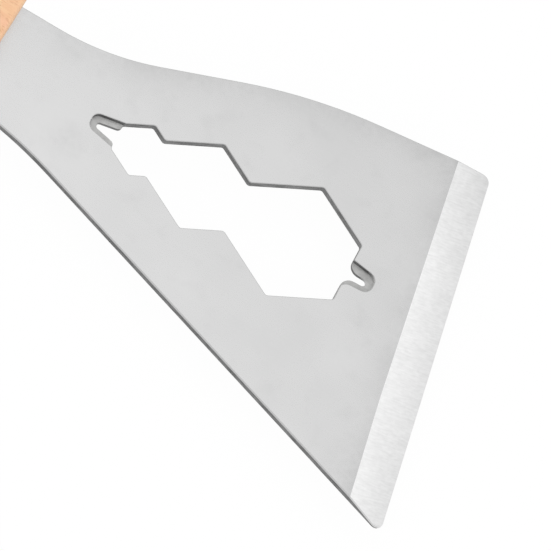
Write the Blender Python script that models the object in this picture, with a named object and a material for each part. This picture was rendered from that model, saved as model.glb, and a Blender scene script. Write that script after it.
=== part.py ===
"""Putty knife with a skewed scraping edge, a chain of hexagonal wrench openings
and a riveted wooden handle.

All lengths are in metres. The knife lies on its back. +X runs along the handle
towards the scraping edge, +Y is the side of the blade's short edge and +Z is its
ground front. The origin is on the flat of the back scale, halfway along the handle.
"""

import math

import bmesh
import bpy
from mathutils import Matrix, Vector

# Room left between two pieces that touch on the real knife
SEAT_GAP = 0.0003
# Extra length that carries a cutter past the face it leaves
CUT_OVERRUN = 0.001
# How far a straight facet may stray from its arc
ARC_TOLERANCE = 0.00001
# Points closer than this are one point
WELD_DISTANCE = 0.000001

# Blade plate: reaches ahead of the handle, rises and drops from its middle line
BLADE_THICKNESS = 0.0015
EDGE_REACH = 0.0971
EDGE_SKEW = math.radians(12.6)
EDGE_RISE = 0.0360
EDGE_DROP = 0.0391
EDGE_TOP_RADIUS = 0.0017
EDGE_TIP_RADIUS = 0.0013
CROWN_REACH = 0.0536
CROWN_RISE = 0.0294
CROWN_RADIUS = 0.1020
FLARE_REACH = 0.0180
FLARE_RISE = 0.01225
FLARE_RADIUS = 0.0505
NECK_HALF_WIDTH = 0.01128
LOWER_FLARE_REACH = 0.0105
LOWER_FLARE_DROP = 0.01164
LOWER_FLARE_RADIUS = 0.0800

# Ground bevel along the scraping edge, whose line bows a little towards the handle
GRIND_WIDTH = 0.00754
GRIND_DEPTH = 0.0011
GRIND_SKEW = math.radians(12.05)
GRIND_BOW_RADIUS = 1.6
GRIND_OVERRUN = 0.0015
GRIND_STRIPS = 12

# Wrench openings, by the nuts that they fit
LARGE_NUT = 0.0220
MIDDLE_NUT = 0.0170
SMALL_NUT = 0.0100
WRENCH_CLEARANCE = 0.00015
LARGE_REACH = 0.0648
LARGE_RISE = 0.00164
LARGE_TO_MIDDLE = 0.0196
MIDDLE_TO_SMALL = 0.01276
OPENING_TURN = math.radians(3.0)
OPENING_CORNER_RADIUS = 0.0006
OPENING_TOOTH_RADIUS = 0.0008
# Lean of a hexagon's sloping sides from the line of the openings
HEXAGON_SLOPE = math.radians(30)

# Nail notches: a V slot right through, and a wider step for the nail's head
NOTCH_LINE_RISE = 0.00022
NOTCH_STEP_DEPTH = 0.00085
NECK_SLOT_LENGTH = 0.0043
NECK_SLOT_MOUTH = 0.0015
NECK_SLOT_END = 0.00055
NECK_SLOT_MOUTH_RADIUS = 0.0009
NECK_STEP_LENGTH = 0.00565
NECK_STEP_MOUTH = 0.0028
NECK_STEP_END = 0.0016
NECK_STEP_RADIUS = 0.0015
EDGE_SLOT_LENGTH = 0.0040
EDGE_SLOT_MOUTH = 0.00082
EDGE_SLOT_END = 0.00068
EDGE_SLOT_MOUTH_RADIUS = 0.0020
EDGE_STEP_LENGTH = 0.00525
EDGE_STEP_UPPER_MOUTH = 0.0027
EDGE_STEP_LOWER_MOUTH = 0.0023
EDGE_STEP_END = 0.0019
EDGE_STEP_RADIUS = 0.0017
EDGE_STEP_MOUTH_RADIUS = 0.0019
EDGE_STEP_MOUTH_LAP = 0.0002

# Handle outline, as distances behind its front end and half widths
HANDLE_LENGTH = 0.118
FRONT_HALF_WIDTH = 0.0133
WAIST_SETBACK = 0.036
WAIST_HALF_WIDTH = 0.0122
WAIST_RADIUS = 0.400
BELLY_SETBACK = 0.088
BELLY_HALF_WIDTH = 0.0157
BELLY_RADIUS = 0.160
BUTT_HALF_WIDTH = 0.0130
BUTT_RADIUS = 0.0128
SCALE_THICKNESS = 0.0080
SCALE_EDGE_RADIUS = 0.0050
SCALE_FRONT_RADIUS = 0.0012

# Tang inside the handle
TANG_SHOULDER_SETBACK = 0.0040
TANG_SHOULDER_RADIUS = 0.0010

# Two-part rivets, driven together from both faces
FIRST_RIVET_SETBACK = 0.0160
LAST_RIVET_TO_BUTT = 0.0360
RIVET_HEAD_RADIUS = 0.0040
RIVET_HEAD_THICKNESS = 0.0013
RIVET_HEAD_CHAMFER = 0.0002
RIVET_BARREL_RADIUS = 0.0026
RIVET_BORE_RADIUS = 0.0017
RIVET_PIN_CHAMFER = 0.0004
RIVET_BORE_REACH = 0.0120

# Hanging hole lined by an eyelet that is rolled over a washer
HANGING_HOLE_TO_BUTT = 0.0130
EYELET_BORE_RADIUS = 0.0035
EYELET_WALL = 0.0005
EYELET_FLANGE_RADIUS = 0.0062
EYELET_FLANGE_THICKNESS = 0.0008
EYELET_ROLL_RADIUS = 0.0052
EYELET_ROUNDING = 0.0003
WASHER_RADIUS = 0.0062
WASHER_THICKNESS = 0.0007

ROUND_SEGMENTS = 32
EDGE_SEGMENTS = 8
FRONT_SEGMENTS = 4
FLANGE_SEGMENTS = 3
SMOOTH_ANGLE = math.radians(35)

# Heights and places that follow from the sizes above
FRONT_X = HANDLE_LENGTH / 2
BUTT_X = FRONT_X - HANDLE_LENGTH
BLADE_BACK_Z = SCALE_THICKNESS + SEAT_GAP
BLADE_FRONT_Z = BLADE_BACK_Z + BLADE_THICKNESS
HANDLE_TOP_Z = BLADE_FRONT_Z + SEAT_GAP + SCALE_THICKNESS


def clear_scene():
    """Remove whatever the open file holds."""
    for old in list(bpy.data.objects):
        bpy.data.objects.remove(old, do_unlink=True)


def rounded_outline(corners):
    """Points of a closed outline whose (x, y, radius) corners become arcs."""
    points = [Vector((x, y)) for x, y, radius in corners]
    count = len(points)
    turns = []
    reaches = []
    for index, (x, y, radius) in enumerate(corners):
        before = points[index] - points[index - 1]
        after = points[(index + 1) % count] - points[index]
        turn = math.atan2(before.x * after.y - before.y * after.x, before.dot(after))
        turns.append(turn)
        reaches.append(radius * math.tan(abs(turn) / 2))
    limits = [1] * count
    for index in range(count):
        ahead = (index + 1) % count
        wanted = reaches[index] + reaches[ahead]
        room = (points[ahead] - points[index]).length
        if wanted > room:
            limits[index] = min(limits[index], room / wanted)
            limits[ahead] = min(limits[ahead], room / wanted)
    outline = []
    for index in range(count):
        reach = reaches[index] * limits[index]
        if reach < WELD_DISTANCE:
            outline.append(points[index])
            continue
        before = (points[index] - points[index - 1]).normalized()
        radius = reach / math.tan(abs(turns[index]) / 2)
        side = math.copysign(radius, turns[index])
        start = points[index] - before * reach
        centre = start + Vector((-before.y, before.x)) * side
        facet = 2 * math.acos(1 - min(1, ARC_TOLERANCE / radius))
        steps = max(2, math.ceil(abs(turns[index]) / facet))
        for step in range(steps + 1):
            outline.append(centre + Matrix.Rotation(turns[index] * step / steps, 2) @ (start - centre))
    return outline


def plate(outline, bottom, top):
    """A flat solid of the outline between two heights."""
    solid = bmesh.new()
    floor = solid.faces.new([solid.verts.new((x, y, bottom)) for x, y in outline])
    raised = bmesh.ops.extrude_face_region(solid, geom=[floor])["geom"]
    lifted = [item for item in raised if isinstance(item, bmesh.types.BMVert)]
    bmesh.ops.translate(solid, verts=lifted, vec=(0, 0, top - bottom))
    bmesh.ops.remove_doubles(solid, verts=solid.verts, dist=WELD_DISTANCE)
    bmesh.ops.recalc_face_normals(solid, faces=solid.faces)
    return solid


def turned(profile, ring=False):
    """A solid turned about Z from (radius, height) points."""
    solid = bmesh.new()
    points = [solid.verts.new((radius, 0, height)) for radius, height in profile]
    edges = [solid.edges.new(pair) for pair in zip(points, points[1:])]
    if ring:
        edges.append(solid.edges.new((points[-1], points[0])))
    bmesh.ops.spin(solid, geom=points + edges, cent=(0, 0, 0), axis=(0, 0, 1),
                   angle=math.tau, steps=ROUND_SEGMENTS, use_merge=True)
    bmesh.ops.remove_doubles(solid, verts=solid.verts, dist=WELD_DISTANCE)
    bmesh.ops.recalc_face_normals(solid, faces=solid.faces)
    return solid


def add_object(name, solid, location=(0, 0, 0)):
    """Store a bmesh as a named object."""
    mesh = bpy.data.meshes.new(name)
    solid.to_mesh(mesh)
    solid.free()
    mesh.shade_smooth()
    mesh.set_sharp_from_angle(angle=SMOOTH_ANGLE)
    item = bpy.data.objects.new(name, mesh)
    item.location = location
    bpy.context.scene.collection.objects.link(item)
    return item


def add_cutter(name, solid, location=(0, 0, 0), turn=0):
    """A guide object that only takes material away."""
    cutter = add_object(name, solid, location)
    cutter.rotation_euler.z = turn
    cutter.hide_render = True
    cutter.display_type = "WIRE"
    return cutter


def cut(item, cutters):
    """Subtract each cutter from an object."""
    for cutter in cutters:
        boolean = item.modifiers.new(cutter.name, "BOOLEAN")
        boolean.operation = "DIFFERENCE"
        boolean.solver = "EXACT"
        boolean.object = cutter


def give_finish(item, colour, roughness, metallic):
    """Give an object a plain material of its own."""
    material = bpy.data.materials.new(item.name)
    material.use_nodes = True
    shader = material.node_tree.nodes["Principled BSDF"]
    shader.inputs["Base Color"].default_value = (*colour, 1)
    shader.inputs["Roughness"].default_value = roughness
    shader.inputs["Metallic"].default_value = metallic
    item.data.materials.append(material)


def satin_steel(item):
    """Stainless sheet with a fine satin brush."""
    give_finish(item, colour=(0.62, 0.62, 0.63), roughness=0.35, metallic=1)


def oiled_beech(item):
    """Pale peach beech under a thin coat of oil."""
    give_finish(item, colour=(0.85, 0.52, 0.30), roughness=0.45, metallic=0)


def turned_brass(item):
    """Bright brass, faced off flush with the wood."""
    give_finish(item, colour=(0.79, 0.58, 0.26), roughness=0.3, metallic=1)


def across_corners(nut):
    """Distance from an opening's centre to its corner, for a nut size."""
    return (nut + WRENCH_CLEARANCE) / math.sqrt(3)


def across_flats(nut):
    """Distance from an opening's centre to its flat, for a nut size."""
    return (nut + WRENCH_CLEARANCE) / 2


def opening_centres():
    """Centres of the middle and the small opening, seen from the large one."""
    middle_x = -LARGE_TO_MIDDLE
    return middle_x, middle_x - MIDDLE_TO_SMALL


def tooth_between(near_x, near_nut, far_x, far_nut):
    """Point where the sloping sides of two neighbouring openings meet."""
    slope = math.tan(HEXAGON_SLOPE)
    near_height = across_corners(near_nut)
    far_height = across_corners(far_nut)
    x = (near_x + far_x) / 2 + (far_height - near_height) / slope / 2
    return x, near_height - slope * (near_x - x)


def slot_corners(flat_x, length, mouth, end, mouth_radius):
    """Corners of a tapered slot that leaves an opening's flat."""
    line = NOTCH_LINE_RISE
    tip_x = flat_x + length
    return [
        (flat_x, line + mouth, mouth_radius),
        (tip_x, line + end, abs(end)),
        (tip_x, line - end, abs(end)),
        (flat_x, line - mouth, mouth_radius),
    ]


def opening_outline():
    """One closed outline of three joined hexagons with a nail slot at each end."""
    middle_x, small_x = opening_centres()
    edge_flat_x = across_flats(LARGE_NUT)
    neck_flat_x = small_x - across_flats(SMALL_NUT)
    corner = OPENING_CORNER_RADIUS
    tooth = OPENING_TOOTH_RADIUS
    upper = [
        (edge_flat_x, across_corners(LARGE_NUT) / 2, corner),
        (0, across_corners(LARGE_NUT), corner),
        (*tooth_between(0, LARGE_NUT, middle_x, MIDDLE_NUT), tooth),
        (middle_x, across_corners(MIDDLE_NUT), corner),
        (*tooth_between(middle_x, MIDDLE_NUT, small_x, SMALL_NUT), tooth),
        (small_x, across_corners(SMALL_NUT), corner),
        (neck_flat_x, across_corners(SMALL_NUT) / 2, corner),
    ]
    neck_slot = slot_corners(neck_flat_x, -NECK_SLOT_LENGTH, NECK_SLOT_MOUTH,
                             NECK_SLOT_END, NECK_SLOT_MOUTH_RADIUS)
    edge_slot = slot_corners(edge_flat_x, EDGE_SLOT_LENGTH, -EDGE_SLOT_MOUTH,
                             -EDGE_SLOT_END, EDGE_SLOT_MOUTH_RADIUS)
    return rounded_outline(upper + neck_slot + mirrored(upper) + edge_slot)


def neck_step_outline():
    """Outline of the head step around the slot next to the handle."""
    middle_x, small_x = opening_centres()
    flat_x = small_x - across_flats(SMALL_NUT)
    tip_x = flat_x - NECK_STEP_LENGTH
    inner_x = flat_x + CUT_OVERRUN
    line = NOTCH_LINE_RISE
    return rounded_outline([
        (inner_x, line + NECK_STEP_MOUTH, 0),
        (flat_x, line + NECK_STEP_MOUTH, 0),
        (tip_x, line + NECK_STEP_END, NECK_STEP_RADIUS),
        (tip_x, line - NECK_STEP_END, NECK_STEP_RADIUS),
        (flat_x, line - NECK_STEP_MOUTH, 0),
        (inner_x, line - NECK_STEP_MOUTH, 0),
    ])


def edge_step_outline():
    """Outline of the head step around the slot next to the scraping edge."""
    flat_x = across_flats(LARGE_NUT)
    tip_x = flat_x + EDGE_STEP_LENGTH
    inner_x = flat_x - CUT_OVERRUN
    mouth_x = flat_x - EDGE_STEP_MOUTH_LAP
    line = NOTCH_LINE_RISE
    mouth_y = line - EDGE_STEP_LOWER_MOUTH - EDGE_STEP_MOUTH_RADIUS
    return rounded_outline([
        (inner_x, mouth_y, 0),
        (mouth_x, mouth_y, 0),
        (mouth_x, line - EDGE_STEP_LOWER_MOUTH, EDGE_STEP_MOUTH_RADIUS),
        (tip_x, line - EDGE_STEP_END, EDGE_STEP_RADIUS),
        (tip_x, line + EDGE_STEP_END, EDGE_STEP_RADIUS),
        (flat_x, line + EDGE_STEP_UPPER_MOUTH, 0),
        (inner_x, line + EDGE_STEP_UPPER_MOUTH, 0),
    ])


def handle_corners():
    """Upper corners of the handle's outline behind its front end."""
    return [
        (FRONT_X - WAIST_SETBACK, WAIST_HALF_WIDTH, WAIST_RADIUS),
        (FRONT_X - BELLY_SETBACK, BELLY_HALF_WIDTH, BELLY_RADIUS),
        (BUTT_X, BUTT_HALF_WIDTH, BUTT_RADIUS),
    ]


def handle_side(setback):
    """Half width of the straight stretch between the front end and the waist."""
    narrowing = (FRONT_HALF_WIDTH - WAIST_HALF_WIDTH) * setback / WAIST_SETBACK
    return FRONT_HALF_WIDTH - narrowing


def mirrored(corners):
    """The same corners on the other side of the middle line, in reverse."""
    return [(x, -y, radius) for x, y, radius in reversed(corners)]


def blade_outline():
    """Blade, neck and full tang as one closed outline."""
    edge_x = FRONT_X + EDGE_REACH
    lean = math.tan(EDGE_SKEW)
    shoulder_x = FRONT_X - TANG_SHOULDER_SETBACK
    shoulder_y = handle_side(TANG_SHOULDER_SETBACK)
    tang = [(shoulder_x, shoulder_y, TANG_SHOULDER_RADIUS)] + handle_corners()
    return rounded_outline([
        (edge_x + EDGE_DROP * lean, -EDGE_DROP, EDGE_TIP_RADIUS),
        (edge_x - EDGE_RISE * lean, EDGE_RISE, EDGE_TOP_RADIUS),
        (FRONT_X + CROWN_REACH, CROWN_RISE, CROWN_RADIUS),
        (FRONT_X + FLARE_REACH, FLARE_RISE, FLARE_RADIUS),
        (FRONT_X, NECK_HALF_WIDTH, 0),
        (shoulder_x, NECK_HALF_WIDTH, 0),
        *tang,
        *mirrored(tang),
        (shoulder_x, -NECK_HALF_WIDTH, 0),
        (FRONT_X, -NECK_HALF_WIDTH, 0),
        (FRONT_X + LOWER_FLARE_REACH, -LOWER_FLARE_DROP, LOWER_FLARE_RADIUS),
    ])


def grinding_wedge():
    """Space above the ground bevel: its floor falls from the bevel's line to the edge."""
    slope = GRIND_DEPTH / GRIND_WIDTH
    half_length = EDGE_DROP / math.cos(EDGE_SKEW) + GRIND_WIDTH
    solid = bmesh.new()
    floor = bmesh.ops.create_grid(solid, x_segments=1, y_segments=GRIND_STRIPS, size=1)["verts"]
    for vert in floor:
        past = GRIND_WIDTH + GRIND_OVERRUN if vert.co.x > 0 else -GRIND_OVERRUN
        y = vert.co.y * half_length
        bow = y * y / (2 * GRIND_BOW_RADIUS)
        vert.co = (past + bow, y, -past * slope)
    raised = bmesh.ops.extrude_face_region(solid, geom=list(solid.faces))["geom"]
    lifted = [item for item in raised if isinstance(item, bmesh.types.BMVert)]
    bmesh.ops.translate(solid, verts=lifted, vec=(0, 0, BLADE_THICKNESS + CUT_OVERRUN))
    bmesh.ops.recalc_face_normals(solid, faces=solid.faces)
    return solid


def make_blade():
    """Blade plate with its openings, nail notches and ground bevel."""
    blade = add_object("blade", plate(blade_outline(), BLADE_BACK_Z, BLADE_FRONT_Z))
    below = BLADE_BACK_Z - CUT_OVERRUN
    above = BLADE_FRONT_Z + CUT_OVERRUN
    step_floor = BLADE_FRONT_Z - NOTCH_STEP_DEPTH
    shapes = {
        "opening_cutter": plate(opening_outline(), below, above),
        "neck_step_cutter": plate(neck_step_outline(), step_floor, above),
        "edge_step_cutter": plate(edge_step_outline(), step_floor, above),
    }
    place = (FRONT_X + LARGE_REACH, LARGE_RISE, 0)
    cutters = [add_cutter(name, solid, place, OPENING_TURN) for name, solid in shapes.items()]
    line_x = FRONT_X + EDGE_REACH - GRIND_WIDTH / math.cos(EDGE_SKEW)
    line_place = (line_x, 0, BLADE_FRONT_Z)
    cutters.append(add_cutter("grinding_cutter", grinding_wedge(), line_place, GRIND_SKEW))
    cut(blade, cutters)
    satin_steel(blade)
    return blade


def make_scale(name, seat_z, outward):
    """One wooden scale: sawn to the outline, its long edges rounded over."""
    stub = SCALE_EDGE_RADIUS + CUT_OVERRUN
    corners = [(FRONT_X + stub, handle_side(-stub), 0)] + handle_corners()
    solid = plate(rounded_outline(corners + mirrored(corners)), 0, SCALE_THICKNESS)
    rim = [edge for edge in solid.edges if all(vert.co.z > SCALE_THICKNESS / 2 for vert in edge.verts)]
    bmesh.ops.bevel(solid, geom=rim, offset=SCALE_EDGE_RADIUS, offset_type="OFFSET",
                    segments=EDGE_SEGMENTS, profile=0.5, affect="EDGES",
                    clamp_overlap=False, material=-1)
    square_off(solid)
    if outward < 0:
        bmesh.ops.transform(solid, matrix=Matrix.Diagonal((1, 1, -1, 1)), verts=solid.verts)
        bmesh.ops.recalc_face_normals(solid, faces=solid.faces)
    scale = add_object(name, solid, location=(0, 0, seat_z))
    oiled_beech(scale)
    return scale


def square_off(solid):
    """Saw the scale's front end square and ease its edges."""
    everything = list(solid.verts) + list(solid.edges) + list(solid.faces)
    bmesh.ops.bisect_plane(solid, geom=everything, plane_co=(FRONT_X, 0, 0),
                           plane_no=(1, 0, 0), dist=WELD_DISTANCE, clear_outer=True)
    rim = [edge for edge in solid.edges if edge.is_boundary]
    bmesh.ops.edgeloop_fill(solid, edges=rim)
    bmesh.ops.recalc_face_normals(solid, faces=solid.faces)
    eased = [edge for edge in rim if any(vert.co.z > WELD_DISTANCE for vert in edge.verts)]
    bmesh.ops.bevel(solid, geom=eased, offset=SCALE_FRONT_RADIUS, offset_type="OFFSET",
                    segments=FRONT_SEGMENTS, profile=0.5, affect="EDGES",
                    clamp_overlap=False, material=-1)


def rivet_places():
    """Where the rivets stand along the handle, by name."""
    first_x = FRONT_X - FIRST_RIVET_SETBACK
    last_x = BUTT_X + LAST_RIVET_TO_BUTT
    return {"neck_rivet": first_x, "middle_rivet": (first_x + last_x) / 2, "butt_rivet": last_x}


def rivet_hole():
    """Space for one rivet: a bore with a counterbore at each face."""
    head = RIVET_HEAD_RADIUS + SEAT_GAP
    barrel = RIVET_BARREL_RADIUS + SEAT_GAP
    seat = RIVET_HEAD_THICKNESS + SEAT_GAP
    return turned([
        (0, -CUT_OVERRUN),
        (head, -CUT_OVERRUN),
        (head, seat),
        (barrel, seat),
        (barrel, HANDLE_TOP_Z - seat),
        (head, HANDLE_TOP_Z - seat),
        (head, HANDLE_TOP_Z + CUT_OVERRUN),
        (0, HANDLE_TOP_Z + CUT_OVERRUN),
    ])


def rivet_barrel():
    """Hollow half of a rivet, entered from the front face."""
    head_under = HANDLE_TOP_Z - RIVET_HEAD_THICKNESS
    end = RIVET_HEAD_THICKNESS + SEAT_GAP
    bore_top = end + RIVET_BORE_REACH
    return turned([
        (0, HANDLE_TOP_Z),
        (RIVET_HEAD_RADIUS - RIVET_HEAD_CHAMFER, HANDLE_TOP_Z),
        (RIVET_HEAD_RADIUS, HANDLE_TOP_Z - RIVET_HEAD_CHAMFER),
        (RIVET_HEAD_RADIUS, head_under),
        (RIVET_BARREL_RADIUS, head_under),
        (RIVET_BARREL_RADIUS, end),
        (RIVET_BORE_RADIUS, end),
        (RIVET_BORE_RADIUS, bore_top),
        (0, bore_top),
    ])


def rivet_pin():
    """Solid half of a rivet, driven into the barrel from the back face."""
    pin = RIVET_BORE_RADIUS - SEAT_GAP
    tip = RIVET_HEAD_THICKNESS + RIVET_BORE_REACH
    return turned([
        (0, 0),
        (RIVET_HEAD_RADIUS - RIVET_HEAD_CHAMFER, 0),
        (RIVET_HEAD_RADIUS, RIVET_HEAD_CHAMFER),
        (RIVET_HEAD_RADIUS, RIVET_HEAD_THICKNESS),
        (pin, RIVET_HEAD_THICKNESS),
        (pin, tip - RIVET_PIN_CHAMFER),
        (pin - RIVET_PIN_CHAMFER, tip),
        (0, tip),
    ])


def make_rivets():
    """Three rivets of two halves each, and the holes that they fill."""
    holes = []
    for name, x in rivet_places().items():
        turned_brass(add_object(name + "_barrel", rivet_barrel(), location=(x, 0, 0)))
        turned_brass(add_object(name + "_pin", rivet_pin(), location=(x, 0, 0)))
        holes.append(add_cutter(name + "_hole", rivet_hole(), location=(x, 0, 0)))
    return holes


def quarter_round(centre_radius, centre_height, radius, start):
    """Points of a quarter circle in a turned profile, anticlockwise from an angle."""
    points = []
    for step in range(FLANGE_SEGMENTS + 1):
        angle = start + math.pi / 2 * step / FLANGE_SEGMENTS
        points.append((centre_radius + radius * math.cos(angle), centre_height + radius * math.sin(angle)))
    return points


def hanging_hole():
    """Space for the eyelet: a bore with a counterbore at each face."""
    barrel = EYELET_BORE_RADIUS + EYELET_WALL + SEAT_GAP
    washer_top = EYELET_FLANGE_THICKNESS + SEAT_GAP + WASHER_THICKNESS
    flange_under = HANDLE_TOP_Z - EYELET_FLANGE_THICKNESS
    return turned([
        (0, -CUT_OVERRUN),
        (WASHER_RADIUS + SEAT_GAP, -CUT_OVERRUN),
        (WASHER_RADIUS + SEAT_GAP, washer_top + SEAT_GAP),
        (barrel, washer_top + SEAT_GAP),
        (barrel, flange_under - SEAT_GAP),
        (EYELET_FLANGE_RADIUS + SEAT_GAP, flange_under - SEAT_GAP),
        (EYELET_FLANGE_RADIUS + SEAT_GAP, HANDLE_TOP_Z + CUT_OVERRUN),
        (0, HANDLE_TOP_Z + CUT_OVERRUN),
    ])


def eyelet():
    """Tube with a round-edged flange in front and a rolled lip over the washer."""
    barrel = EYELET_BORE_RADIUS + EYELET_WALL
    under = HANDLE_TOP_Z - EYELET_FLANGE_THICKNESS
    lip = EYELET_FLANGE_THICKNESS
    rounding = EYELET_ROUNDING
    half_turn = math.pi
    quarter_turn = math.pi / 2
    profile = [(barrel, lip), (EYELET_ROLL_RADIUS, lip)]
    profile += reversed(quarter_round(EYELET_ROLL_RADIUS - rounding, rounding, rounding, -quarter_turn))
    profile += reversed(quarter_round(EYELET_BORE_RADIUS + rounding, rounding, rounding, half_turn))
    profile += reversed(quarter_round(EYELET_BORE_RADIUS + rounding, HANDLE_TOP_Z - rounding,
                                      rounding, quarter_turn))
    profile += reversed(quarter_round(EYELET_FLANGE_RADIUS - rounding, HANDLE_TOP_Z - rounding,
                                      rounding, 0))
    profile += [(EYELET_FLANGE_RADIUS, under), (barrel, under)]
    return turned(profile, ring=True)


def washer():
    """Flat ring that the eyelet's lip holds against the back scale."""
    bore = EYELET_BORE_RADIUS + EYELET_WALL + SEAT_GAP
    bottom = EYELET_FLANGE_THICKNESS + SEAT_GAP
    top = bottom + WASHER_THICKNESS
    return turned([
        (bore, bottom),
        (WASHER_RADIUS - EYELET_ROUNDING, bottom),
        (WASHER_RADIUS, bottom + EYELET_ROUNDING),
        (WASHER_RADIUS, top),
        (bore, top),
    ], ring=True)


def make_eyelet():
    """Eyelet and washer, and the hole that they line."""
    place = (BUTT_X + HANGING_HOLE_TO_BUTT, 0, 0)
    turned_brass(add_object("hanging_eyelet", eyelet(), location=place))
    turned_brass(add_object("eyelet_washer", washer(), location=place))
    return add_cutter("hanging_hole", hanging_hole(), location=place)


def main():
    """Build the whole knife under one empty."""
    clear_scene()
    blade = make_blade()
    front_scale = make_scale("front_scale", BLADE_FRONT_Z + SEAT_GAP, 1)
    back_scale = make_scale("back_scale", SCALE_THICKNESS, -1)
    holes = make_rivets() + [make_eyelet()]
    for layer in (blade, front_scale, back_scale):
        cut(layer, holes)
    knife = bpy.data.objects.new("putty_knife", None)
    bpy.context.scene.collection.objects.link(knife)
    for item in bpy.context.scene.objects:
        if item is not knife:
            item.parent = knife


main()
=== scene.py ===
"""Finishes for a riveted putty knife with wrench openings in its blade.

The add-on puts a panel in the 3D view's sidebar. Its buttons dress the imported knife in
satin steel, oiled beech and brass, and set up a plain studio round it. Lengths are in
metres. +X runs along the handle to the scraping edge, and +Z points out of the ground front.
"""

import math

import bmesh
import bpy
from bpy.props import FloatProperty, FloatVectorProperty, IntProperty, PointerProperty
from mathutils import Matrix, Vector


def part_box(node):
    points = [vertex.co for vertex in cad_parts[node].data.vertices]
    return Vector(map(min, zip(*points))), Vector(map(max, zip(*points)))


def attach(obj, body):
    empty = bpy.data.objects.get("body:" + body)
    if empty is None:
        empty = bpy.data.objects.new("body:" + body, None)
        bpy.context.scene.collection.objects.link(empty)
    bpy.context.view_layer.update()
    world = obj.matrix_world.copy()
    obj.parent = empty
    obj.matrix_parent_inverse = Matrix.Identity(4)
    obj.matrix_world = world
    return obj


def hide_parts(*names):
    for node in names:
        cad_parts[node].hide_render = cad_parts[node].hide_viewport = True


bl_info = {
    "name": "Putty Knife Finishes",
    "version": (1, 0, 0),
    "blender": (4, 5, 0),
    "location": "3D View > Sidebar > Putty Knife",
    "description": "Dresses a riveted putty knife in steel, beech and brass",
    "category": "Object",
}

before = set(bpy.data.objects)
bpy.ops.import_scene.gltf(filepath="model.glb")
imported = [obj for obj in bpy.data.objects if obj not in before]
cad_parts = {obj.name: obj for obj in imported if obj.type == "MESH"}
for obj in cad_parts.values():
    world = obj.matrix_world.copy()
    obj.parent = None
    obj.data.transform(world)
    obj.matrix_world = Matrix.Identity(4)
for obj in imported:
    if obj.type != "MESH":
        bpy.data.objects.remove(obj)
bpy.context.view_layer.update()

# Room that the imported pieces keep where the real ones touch
SEAT_GAP = 0.0003
# What is left of that room once a piece is let down onto its seat
CONTACT = 0.00004
# How far a piece may grow into that room
FILL = SEAT_GAP - CONTACT
# Points closer than this are one point
WELD_DISTANCE = 0.000002
# Neighbouring triangles that lean less than this are one flat face
FLAT_ANGLE = math.radians(0.5)
# Neighbouring faces that lean more than this meet in a crisp edge
CRISP_ANGLE = math.radians(35)
# Rims sharper than this are deburred
RIM_ANGLE = math.radians(50)
# A face of the blade that leans between these two from level is ground
GROUND_LEAN = (math.radians(3), math.radians(12))
# The scraping edge's own wall is ground too. It lies past this share of the bevel's width,
# and faces away from the handle by more than this cosine
EDGE_PLACE = 0.8
EDGE_FACING = 0.5
# Rings in a rivet's slightly domed face
DOME_RINGS = 4
# Facets in the rounded rims of brass, in the outline's rolled rim and in a deburred rim
ROUND_FACETS = 4
ROLL_FACETS = 3
DEBURR_FACETS = 2

# Places of the finishes in the blade's material list
PLATE, GROUND, PRESSED, SHEARED, PUNCHED = range(5)
# The finishes of the faces that meet the walls at the front's rims
FRONT = (PLATE, GROUND)
# Corners of the blade's upper edge: neck, flare, crown and bevel
UPPER_EDGE = ((0.0590, 0.01128), (0.0770, 0.01225), (0.1126, 0.0294), (0.1483, 0.0360))
# Way along which painted shade darkens the sheet, where the light falls off: along the handle's line and over
# to the crown
SHADE_FADE_WAY = (0.57, 0.82, 0)
# Darker spots on the sheet: middle, reach and strength
DARK_SPOTS = (((0.1563, -0.0357, 0.0098), 0.012, 0.8), ((0.0786, -0.0071, 0.0098), 0.0050, 0.8))
# How steeply the painted shade of the strip behind the bevel and of the upper rim fades into the sheet
STRIP_POWER = 5
RIM_POWER = 3
# Between these places in Y the bevel gets darker, up to its upper end
BEVEL_DARKENING_SPAN = (0.012, 0.036)
# Between these places in X the notches' floors get darker, towards the larger notch
NOTCH_FLOOR_DARKENING = (0.095, 0.130)
# Share of the notches' floors that is bare metal; the rest is the mill's dark scale
BARE_METAL = 0.4
# A stretch of a sheared wall is this many times as long as it is high
BAND_STRETCH = 6
# Blotches and redder patches of the wood are longer along the grain by these factors
BLOTCH_STRETCH = 1.6
PINK_STRETCH = 4
# A wave of this scale makes one growth ring a unit wide
RING_SCALE = math.tau / 20
# How far the growth rings waver from round
RING_WAVER = 2.5

RIVETS = ("neck_rivet", "middle_rivet", "butt_rivet")
# Softboxes: name, place, size and power in watts
SOFTBOXES = (("key_softbox", (-0.12, 0.13, 0.65), 0.45, 0.5),
             ("fill_softbox", (0.40, -0.40, 0.50), 0.8, 1.4))
WHITE = (1, 1, 1, 1)
# Distance from the floor's middle to its sides, and how far it lies under the knife
FLOOR_REACH = 3
FLOOR_DROP = 0.0003
# The camera sees from half its distance to the aim to four times that distance
CAMERA_REACH = (0.5, 4)


def linear(code):
    """Linear colour of an sRGB hex value, fully opaque."""
    written = [int(code[place:place + 2], 16) / 255 for place in (0, 2, 4)]
    channels = [c / 12.92 if c <= 0.04045 else ((c + 0.055) / 1.055) ** 2.4 for c in written]
    return (*channels, 1)


def colour(name, description, code):
    """A colour that a user can change."""
    return FloatVectorProperty(name=name, description=description, subtype="COLOR",
                               size=4, min=0, max=1, default=linear(code))


def span(name, description, least, most):
    """A least and a greatest value that a user can change."""
    return FloatVectorProperty(name=name, description=description, size=2, min=0, max=1,
                               default=(least, most))


def length(name, description, default):
    """A length that a user can change."""
    return FloatProperty(name=name, description=description, default=default, min=0,
                         precision=5, unit="LENGTH")


def angle(name, description, degrees):
    """An angle that a user can change."""
    return FloatProperty(name=name, description=description, default=math.radians(degrees),
                         subtype="ANGLE")


def point(name, description, default):
    """A point that a user can change."""
    return FloatVectorProperty(name=name, description=description, subtype="XYZ", unit="LENGTH",
                               default=default)


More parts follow.
